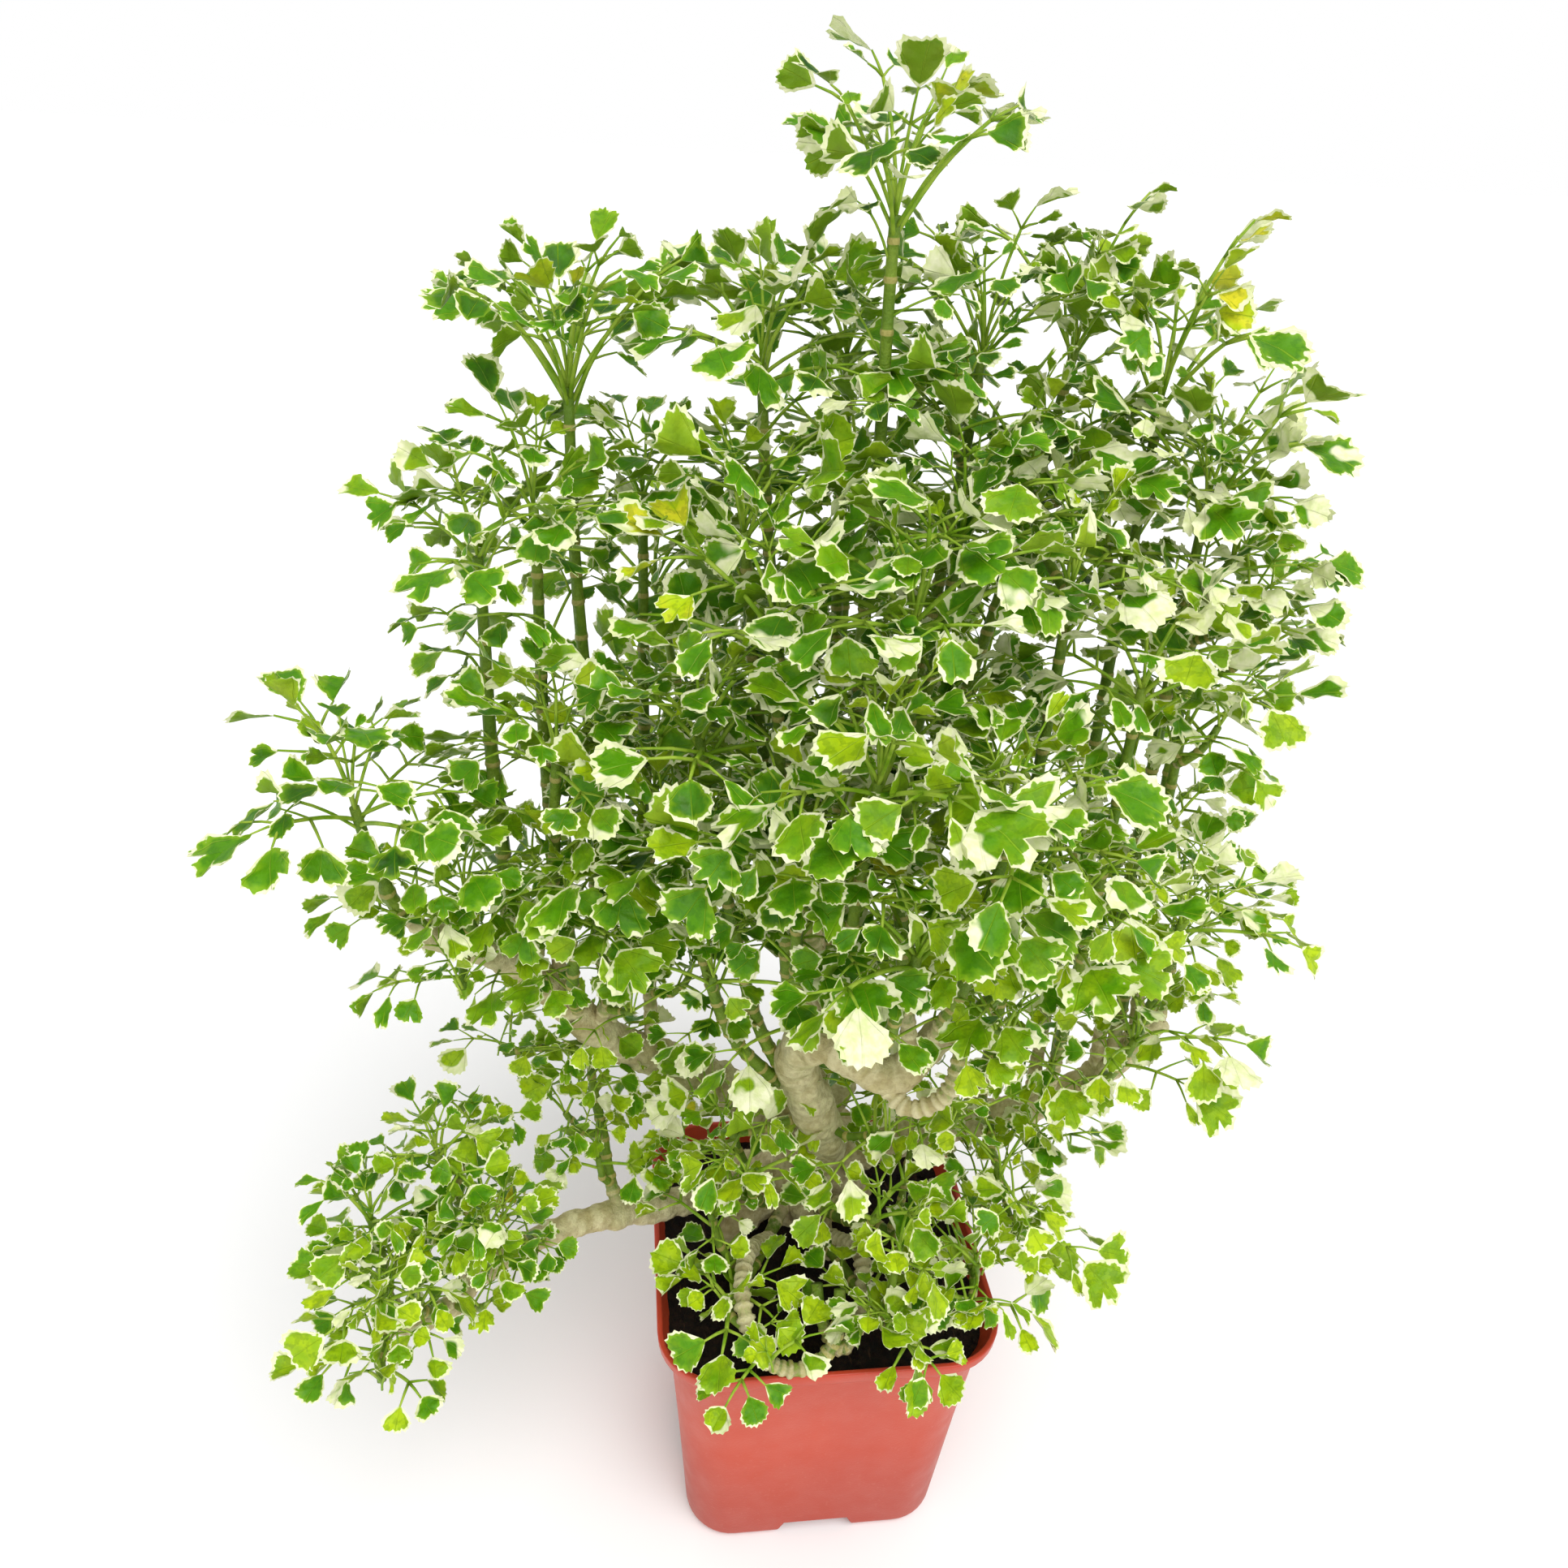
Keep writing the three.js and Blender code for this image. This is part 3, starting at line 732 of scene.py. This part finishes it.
# Each form: how wide it is for its length, the fold along its middle, its droop, and its cuts, as the
# point of the outline where it is cut, counted from the tip, and the depth.
LEAFLET_FORMS = {
    "fan": (1.0, 0.3, 0.35, []),
    "broad_fan": (1.2, 0.2, 0.2, [(1, 0.16), (-3, 0.14)]),
    "wedge": (0.74, 0.5, 0.3, [(0, 0.2)]),
    "three_lobed": (1.22, 0.35, 0.4, [(3, 0.5), (-3, 0.46)]),
    "two_lobed": (1.34, 0.4, 0.25, [(0, 0.62)]),
    "one_sided": (1.1, 0.4, 0.5, [(-3, 0.56)]),
    "folded": (1.0, 1.25, 0.3, [(2, 0.2)]),
    "cut_deep": (1.25, 0.45, 0.6, [(4, 0.42), (0, 0.34), (-4, 0.54)]),
    "sliver": (0.46, 0.6, 0.5, [(1, 0.2)]),
}


def leaflet_form(name, width, fold, droop, cuts, seed):
    """A leaflet one unit long, its stalk end at the origin, its tip along +Y and its face up."""
    chance = random.Random(seed)
    bpy.ops.mesh.primitive_circle_add(vertices=OUTLINE_POINTS, radius=1, fill_type="NGON")
    blade = start_piece(name)
    edit()
    pick_all()
    bpy.ops.mesh.inset(thickness=1 - MARGIN_RING)
    bpy.ops.mesh.poke()
    leave_edit()
    half_count = OUTLINE_POINTS // 2
    knots = np.array(HALF_OUTLINE)
    along = np.concatenate([[0], np.cumsum(np.linalg.norm(np.diff(knots, axis=0), axis=1))])
    plain = np.linspace(0, PLAIN_SHARE, PLAIN_POINTS + 1)[:-1]
    stations = np.concatenate([plain, np.linspace(PLAIN_SHARE, 1, half_count - PLAIN_POINTS + 1)]) * along[-1]
    half = np.stack([np.interp(stations, along, knots[:, axis]) for axis in (0, 1)], axis=1)
    middle = np.array(BLADE_MIDDLE)
    teeth = [chance.uniform(0.5, 1.6) for _ in range(OUTLINE_POINTS)]
    phase = chance.uniform(0, 6)
    lopsided = chance.uniform(-0.09, 0.09)
    edges = []
    for vertex in blade.data.vertices:
        from_middle = Vector((vertex.co.x, vertex.co.y)).length
        turn = math.degrees(math.atan2(vertex.co.x, -vertex.co.y)) % 360
        index = round(turn / (360 / OUTLINE_POINTS)) % OUTLINE_POINTS
        side = min(index, OUTLINE_POINTS - index)
        on_right = index <= half_count
        spoke = half[side] * (1 if on_right else -1, 1) - middle
        from_tip = (half_count - side) * (1 if on_right else -1)
        for cut_at, depth in cuts:
            spoke = spoke * (1 - depth * math.exp(-(((from_tip - cut_at) / CUT_WIDTH) ** 2)))
        edge = 0.0
        if from_middle < 0.3:
            spoke, edge = spoke * 0, 1.0
        elif from_middle < 0.9:
            spoke, edge = spoke * MARGIN_RING, 0.42
        elif side > PLAIN_POINTS:
            spoke = spoke * (1 + (TOOTH_OUT if index % 2 == 0 else TOOTH_IN) * teeth[index])
        x, y = spoke + middle
        x = (x + lopsided * y * y) * width
        ruffle = RUFFLE * math.sin(0.9 * index + phase) * (1 - edge)
        z = fold * (abs(x) ** 1.3) * 0.8 - droop * max(y - 0.25, 0) ** 2 * 0.6 + ruffle * min(y * 3, 1)
        vertex.co = (x, y, z)
        edges.append(edge)
    paint(blade, "edge", edges)
    edit()
    pick_all()
    bpy.ops.mesh.duplicate()
    bpy.ops.mesh.flip_normals()
    leave_edit()
    # The copy is the underside: it hangs a blade's thickness below, and is welded on along the edge.
    top_count = len(blade.data.vertices) // 2
    layer = blade.data.attributes["edge"].data
    for vertex in blade.data.vertices[top_count:]:
        if layer[vertex.index].value > 0:
            vertex.co.z -= BLADE_THICKNESS
    under = [0.0] * top_count + [1.0 if layer[i].value > 0 else 0.5 for i in range(top_count, 2 * top_count)]
    paint(blade, "under", under)
    edit()
    pick_all()
    bpy.ops.mesh.remove_doubles(threshold=0.0005)
    leave_edit()
    paint(blade, "stalk", 0.0)
    across = blade.data.uv_layers.new(name="blade")
    for loop in blade.data.loops:
        co = blade.data.vertices[loop.vertex_index].co
        across.data[loop.index].uv = (0.5 + co.x / 2, co.y)
    bpy.ops.object.shade_smooth_by_angle(angle=math.radians(65))
    return blade


leaflets = {
    name: leaflet_form(f"leaflet_{name}", *shape[:3], shape[3], seed)
    for seed, (name, shape) in enumerate(LEAFLET_FORMS.items())
}

# ---- Leaves ----
# A leaf is compound: a thin green stalk that divides in three, or in five or seven on the larger ones,
# each division bearing a leaflet. The stalk rises from the shoot and arches over, so the leaflets face up.
STALK_RADIUS = 0.62 * MM
DIVISION_RADIUS = 0.42 * MM


def turned(degrees, axis, size=3):
    return Matrix.Rotation(math.radians(degrees), size, axis)


def leaf_form(name, size_name, reach, leaflet_length, climb, tilt, parts, seed):
    """A whole leaf, its foot at the origin and spreading along +X."""
    chance = random.Random(seed)
    vary = chance.uniform
    stalk_length = reach - 1.75 * leaflet_length
    place, going = Vector((0, 0, 0)), climb + 10
    sway = vary(-14, 14)
    route, heading = [place.copy()], 0.0
    for k in range(6):
        going -= vary(0.5, 6)
        heading += sway / 6
        step = turned(heading, "Z") @ turned(-going, "Y") @ Vector((1, 0, 0))
        place = place + step * stalk_length / 6
        route.append(place.copy())
    stalk = sweep("stalk", route, np.linspace(STALK_RADIUS, STALK_RADIUS * 0.8, 7), 6)
    built = [stalk]
    # Each leaflet: its angle, how long its own stalk is, its size, and the point of the main stalk it grows from.
    spreads = {
        3: [(0, 1.0, 1.0, 6), (vary(46, 62), 0.8, 0.86, 6), (-vary(46, 62), 0.8, 0.84, 6)],
        5: [
            (0, 1.0, 1.0, 6), (vary(40, 54), 0.85, 0.86, 6), (-vary(40, 54), 0.85, 0.88, 6),
            (vary(50, 75), 1.1, 0.74, 4), (-vary(50, 75), 1.1, 0.76, 4),
        ],
        7: [
            (0, 1.0, 0.92, 6), (vary(36, 52), 0.85, 0.78, 6), (-vary(36, 52), 0.85, 0.8, 6),
            (vary(40, 64), 1.2, 0.86, 4), (-vary(40, 64), 1.2, 0.84, 4),
            (vary(46, 70), 1.3, 0.74, 2), (-vary(46, 70), 1.3, 0.72, 3),
        ],
    }[parts]
    usual = ["fan", "broad_fan", "fan", "wedge", "folded", "fan"]
    if size_name != "short":
        usual += ["three_lobed", "one_sided", "two_lobed", "cut_deep", "three_lobed", "sliver"]
    if tilt > 20:
        # Young leaflets are narrower and still folded.
        usual += ["wedge", "folded", "sliver", "wedge", "cut_deep", "folded"]
    for spread, stem_share, size_share, node in spreads:
        start = route[node]
        plane = turned(heading, "Z") @ turned(-tilt, "Y")
        way = (plane @ turned(spread + vary(-8, 8), "Z") @ Vector((1, 0, 0))).normalized()
        division = leaflet_length * vary(0.55, 1.0) * stem_share
        middle = start + way * division * 0.5 + Vector((0, 0, vary(0.02, 0.07) * division))
        end = start + way * division
        radii = [DIVISION_RADIUS * 1.15, DIVISION_RADIUS, DIVISION_RADIUS * 0.7]
        built.append(sweep("division", [start, middle, end + way * 0.04 * leaflet_length], radii, 4))
        face = turned(vary(-48, 48), way) @ (plane @ Vector((0, 0, 1))).normalized()
        face = turned(vary(-52, 10), way.cross(face)) @ face
        lengthwise = (way - face * way.dot(face)).normalized()
        crosswise = lengthwise.cross(face)
        size = leaflet_length * size_share * vary(0.74, 1.24)
        turn = Matrix((crosswise, lengthwise, face)).transposed().to_4x4()
        blade = leaflets[chance.choice(usual)].copy()
        blade.data = blade.data.copy()
        blade.data.transform(Matrix.Translation(end) @ turn @ Matrix.Scale(size, 4))
        paint(blade, "tone", vary(-0.26, 0.26))
        paint(blade, "cream", vary(-0.25, 0.15) + (0.6 if chance.random() < 0.14 else 0))
        bpy.context.collection.objects.link(blade)
        built.append(blade)
    for stem in built:
        if "tone" not in stem.data.attributes:
            for key, value in (("edge", 1.0), ("under", 0.0), ("stalk", 1.0), ("tone", 0.0), ("cream", 0.0)):
                paint(stem, key, value)
            while stem.data.uv_layers:
                stem.data.uv_layers.remove(stem.data.uv_layers[0])
            stem.data.uv_layers.new(name="blade")
            stem.data.polygons.foreach_set("use_smooth", [True] * len(stem.data.polygons))
    leaf = join_pieces(built, name)
    return leaf


# Old leaves low on a shoot lie out flat on long stalks, and young ones stand up round its tip.
LEAF_CLIMBS = {"low": (26, 2), "middle": (52, 26), "high": (74, 56)}
leaves = {}
for climb_name, (climb, tilt) in LEAF_CLIMBS.items():
    for size_name, reach, leaflet_length, parts in (
        ("spray", 58, 12, (5, 7, 5, 3)),
        ("long", 46, 12.8, (3, 5, 3, 5, 3)),
        ("short", 29, 9.4, (3, 5, 3, 3, 3)),
    ):
        leaves[climb_name, size_name] = [
            leaf_form(
                f"leaf_{climb_name}_{size_name}_{k}",
                size_name, reach * MM, leaflet_length * MM, climb, tilt, count, 100 * k + climb + reach,
            )
            for k, count in enumerate(parts)
        ]

foliage, tree, shader = new_material("variegated_leaf")
edge, under, stalk = value_of("edge"), value_of("under"), value_of("stalk")
tone, cream = value_of("tone"), value_of("cream")
patch = noise_node(210, detail=2)
streak = noise_node(420, detail=2, roughness=0.6)
broad = noise_node(75, detail=1)
inside = plus(edge, times(minus(streak, 0.5), 0.5))
inside = plus(inside, times(minus(patch, 0.5), 0.9))
border = maths("MINIMUM", plus(0.06, times(cream, 0.26)), 0.34)
green_part = rise(minus(inside, border), -0.02, 0.04)
# Whole patches without green, more of them on the paler shoots.
bare_from = minus(0.78, times(cream, 0.34))
bare = rise(minus(broad, times(edge, 0.09)), bare_from, plus(bare_from, 0.03))
green_part = times(green_part, minus(1.0, bare))
depth = plus(tone, times(minus(patch, 0.5), 0.5))
dark_green = mix_colours(rise(depth, 0.0, 0.5), rgb(18, 58, 2), rgb(84, 144, 2))
leaf_green = mix_colours(rise(depth, 0.5, 1.0), dark_green, rgb(180, 206, 14))
leaf_green = mix_colours(rise(depth, 1.15, 1.4), leaf_green, rgb(222, 214, 44))
second_tone = rise(streak, 0.48, 0.6)
leaf_green = mix_colours(times(second_tone, 0.34), leaf_green, rgb(44, 106, 6))
near_margin = rise(inside, 0.1, 0.55, 0.45, 0.0)
leaf_green = mix_colours(near_margin, leaf_green, rgb(160, 200, 34))
uv = tree.nodes.new("ShaderNodeUVMap")
uv.uv_map = "blade"
split = tree.nodes.new("ShaderNodeSeparateXYZ")
tree.links.new(uv.outputs["UV"], split.inputs["Vector"])
sideways = minus(split.outputs["X"], 0.5)
fan = maths("ARCTAN2", times(sideways, 2.0), plus(split.outputs["Y"], 0.04))
vein = maths("ABSOLUTE", maths("SINE", times(fan, 5.5)))
vein = rise(vein, 0.0, 0.16, 1.0, 0.0)
vein = times(vein, minus(1.0, stalk))
leaf_green = mix_colours(times(vein, 0.5), leaf_green, rgb(160, 200, 44))
leaf_green = mix_colours(times(under, 0.45), leaf_green, rgb(146, 168, 36))
pale = mix_colours(rise(streak, 0.3, 0.7), rgb(246, 246, 208), rgb(226, 234, 170))
blade_colour = mix_colours(green_part, pale, leaf_green)
stalk_colour = mix_colours(rise(patch, 0.35, 0.65), rgb(124, 164, 30), rgb(164, 190, 64))
stalk_colour = mix_colours(rise(tone, 0.1, 0.5, 0.45, 0.0), stalk_colour, rgb(84, 120, 22))
surface(shader, mix_colours(stalk, blade_colour, stalk_colour), rise(patch, 0.3, 0.7, 0.42, 0.56), 0.22)
relief = minus(times(noise_node(900, detail=2), 0.6), times(vein, 0.8))
bump(shader, relief, 0.6, 0.0005)

# ---- Whorls of leaves ----
# Leaves spiral up the end of each cane by the golden angle, and a few are scattered down it.
# Shoots low on the left and at the foot are small-leaved and yellow-green, and on the long-leaved shoots a painted
# shade darkens the green the higher their tip ends.
GOLDEN_ANGLE = 137.5
SPRIG_SHARE = 0.86
YELLOW_CHANCE = 0.012
YELLOWING = 0.9
# Painted shade: long-leaved shoots that end above this height are painted a darker green, and those that end below it
# a lighter one.
PAINTED_SHADE_HEIGHT = 0.25
# For each bough: the form and size of its leaves, how many grow at a tip and how many down the cane and
# over what reach in millimetres, how light their green is and how much cream they carry.
STYLE_NAMES = ("form", "size", "at_tip", "down", "reach_down", "tone", "cream")
LEAF_STYLES = {
    "leader": ("long", 0.9, 11, 8, 90, 0.5, 0.46),
    "left_high": ("long", 0.79, 9, 4, 55, 0.5, 0.28),
    "left_low": ("short", 0.92, 10, 6, 36, 0.64, 0.26),
    "front": ("long", 1.0, 11, 6, 60, 0.5, 0.42),
    "right": ("long", 0.9, 9, 5, 70, 0.55, 0.66),
    "back": ("long", 0.96, 11, 8, 90, 0.55, 0.3),
    "basal": ("short", 1.12, 5, 2, 16, 0.74, 0.28),
}
# What is different on single shoots. The rising ones stand clear, with all their leaves held up on long stalks.
SHOOT_STYLES = {
    "leader_1": {"rising": True, "size": 0.8, "down": 5, "reach_down": 62},
    "leader_4": {"rising": True, "size": 0.76},
    "leader_5": {"rising": True, "size": 0.8},
    "left_high_1": {"rising": True, "size": 0.84, "at_tip": 14, "down": 4, "reach_down": 46},
    "left_high_2": {"size": 0.88, "at_tip": 10, "down": 1, "reach_down": 20},
    "left_low_5": {"at_tip": 5, "down": 2},
    "right_1": {"rising": True, "size": 0.96},
    "right_3": {"rising": True, "size": 0.92},
}


def style_of(bough):
    return dict(zip(STYLE_NAMES, LEAF_STYLES[bough]))


def place_leaf(form_key, foot, azimuth, size, tone, cream, chance):
    """A copy of one of the leaf forms, set at its foot and turned about the upright."""
    form = chance.choice(leaves[form_key])
    leaf = form.copy()
    leaf.data = form.data.copy()
    lean = turned(chance.uniform(-10, 10), "X", 4) @ turned(chance.uniform(-9, 9), "Y", 4)
    leaf.data.transform(Matrix.Translation(foot) @ Matrix.Rotation(azimuth, 4, "Z") @ lean @ Matrix.Scale(size, 4))
    yellowing = YELLOWING if chance.random() < YELLOW_CHANCE else 0.0
    for key, level in (("tone", tone + yellowing), ("cream", cream)):
        layer = leaf.data.attributes[key].data
        own = np.empty(len(layer), np.float32)
        layer.foreach_get("value", own)
        layer.foreach_set("value", own + level)
    bpy.context.collection.objects.link(leaf)
    return leaf


def leaf_out(route, style, order):
    """The leaves of one shoot: a whorl round its tip and single leaves down its stem."""
    at_tip, down = style["at_tip"], style["down"]
    chance = random.Random(500 + order)
    vary = chance.uniform
    tip = Vector(route[-1])
    heading = (tip - Vector(route[-5])).normalized()
    length = float(np.linalg.norm(np.diff(route, axis=0), axis=1).sum())
    # Painted shade: the green of long-leaved shoots darkens the higher their tip ends.
    tone = style["tone"] + (PAINTED_SHADE_HEIGHT - tip.z) * (style["form"] == "long") + vary(-0.1, 0.1)
    cream = style["cream"] + vary(-0.15, 0.15)
    grown = []
    for k in range(at_tip):
        up = k / (at_tip - 1)
        climb_name = "low" if up < 0.34 else "middle" if up < 0.72 else "high"
        form = style["form"]
        if "rising" in style:
            climb_name = "middle" if up < 0.55 else "high"
            form = "spray" if k % 2 else "long"
        foot = tip + heading * (up * 7 - 5) * MM
        azimuth = math.radians(GOLDEN_ANGLE * (k + order * 0.37) + vary(-12, 12))
        size = style["size"] * (1 - 0.34 * up**3) * vary(0.86, 1.08)
        grown.append(place_leaf((climb_name, form), foot, azimuth, size, tone + 0.12 * up, cream, chance))
    for k in range(down):
        back = (0.1 + 0.9 * (k + vary(0, 0.8)) / down) * min(0.8, style["reach_down"] * MM / length)
        azimuth = math.radians(GOLDEN_ANGLE * (k + 20 + order) + vary(-20, 20))
        size = style["size"] * vary(0.62, 0.95)
        climb_name = "low" if k % 2 else "middle"
        grown.append(place_leaf((climb_name, style["form"]), at_share(route, 1 - back), azimuth, size, tone, cream, chance))
    return grown


whorls = {}
for order, shoot in enumerate(shoots):
    name = f"{shoot['bough']}_{shoot['number']}"
    style = {**style_of(shoot["bough"]), **SHOOT_STYLES.get(name, {})}
    whorls[name] = leaf_out(shoot["route"], style, order)
for order, sprig in enumerate(sprigs):
    # A sprig's leaves go with those of the nearest cane of its bough.
    own = [shoot for shoot in shoots if shoot["bough"] == sprig["bough"]]
    nearest = min(own, key=lambda shoot: float(((shoot["route"][-1] - sprig["route"][-1]) ** 2).sum()))
    style = style_of(sprig["bough"])
    style.update(size=style["size"] * SPRIG_SHARE, at_tip=4 if style["form"] == "short" else 5, down=1, reach_down=16)
    whorls[f"{nearest['bough']}_{nearest['number']}"] += leaf_out(sprig["route"], style, 200 + order)
for name, grown in whorls.items():
    whorl = join_pieces(grown, f"whorl_{name}")
    dress(whorl, foliage)
    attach(whorl, "root")
    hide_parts(f"leaves_{name}")
for model in [*leaflets.values(), *(form for forms in leaves.values() for form in forms)]:
    bpy.data.objects.remove(model)

# ---- Floor, light and camera ----
# The plant stands on a plain white floor that runs on into a white surround, under broad soft lamps.
SURROUND_SEEN = 1.0
SURROUND_LIGHT = 0.58
LENS = 27.95
CAMERA_AT = Vector((-56, -262, 392)) * MM
CAMERA_YAW = math.radians(-8.28)
CAMERA_PITCH = math.radians(28.4)
CAMERA_ROLL = math.radians(3.36)

bpy.ops.object.select_all(action="DESELECT")
bpy.ops.mesh.primitive_plane_add(size=40)
floor = start_piece("studio_floor")
floor_white, tree, shader = new_material("studio_floor_white")
surface(shader, mix_colours(noise_node(3), rgb(254, 254, 254), rgb(252, 252, 252)), 0.9, 0.1)
floor.data.materials.append(floor_white)

surround = bpy.data.worlds.new("surround")
surround.use_nodes = True
tree = surround.node_tree
backdrop = tree.nodes["Background"]
backdrop.inputs["Color"].default_value = (1.0, 1.0, 1.0, 1.0)
backdrop.inputs["Strength"].default_value = SURROUND_SEEN
soft_fill = tree.nodes.new("ShaderNodeBackground")
soft_fill.inputs["Color"].default_value = (1.0, 1.0, 1.0, 1.0)
soft_fill.inputs["Strength"].default_value = SURROUND_LIGHT
seen = tree.nodes.new("ShaderNodeLightPath")
choice = tree.nodes.new("ShaderNodeMixShader")
tree.links.new(seen.outputs["Is Camera Ray"], choice.inputs["Fac"])
tree.links.new(soft_fill.outputs["Background"], choice.inputs[1])
tree.links.new(backdrop.outputs["Background"], choice.inputs[2])
tree.links.new(choice.outputs["Shader"], tree.nodes["World Output"].inputs["Surface"])
bpy.context.scene.world = surround


def add_lamp(name, towards, strength, spread):
    """A broad, distant lamp that shines towards a direction, as soft as its spread is wide."""
    data = bpy.data.lights.new(name, "SUN")
    data.energy = strength
    data.angle = math.radians(spread)
    lamp = bpy.data.objects.new(name, data)
    lamp.rotation_euler = Vector(towards).to_track_quat("-Z", "Y").to_euler()
    bpy.context.collection.objects.link(lamp)


add_lamp("key_lamp", (-0.25, 0.6, -1.0), 2.0, 46)
add_lamp("side_lamp", (0.5, 0.9, -0.6), 0.5, 60)

level = math.cos(CAMERA_PITCH)
forward = Vector((-math.sin(CAMERA_YAW) * level, math.cos(CAMERA_YAW) * level, -math.sin(CAMERA_PITCH)))
level_right = forward.cross(Vector((0, 0, 1))).normalized()
level_up = level_right.cross(forward)
right = level_right * math.cos(CAMERA_ROLL) + level_up * math.sin(CAMERA_ROLL)
up = level_up * math.cos(CAMERA_ROLL) - level_right * math.sin(CAMERA_ROLL)
camera_data = bpy.data.cameras.new("camera")
camera_data.sensor_width = 36
camera_data.lens = LENS
camera_data.clip_start = 0.01
camera = bpy.data.objects.new("camera", camera_data)
camera.matrix_world = Matrix.Translation(CAMERA_AT) @ Matrix((right, up, -forward)).transposed().to_4x4()
bpy.context.collection.objects.link(camera)
bpy.context.scene.camera = camera
bpy.context.scene.view_settings.view_transform = "Standard"
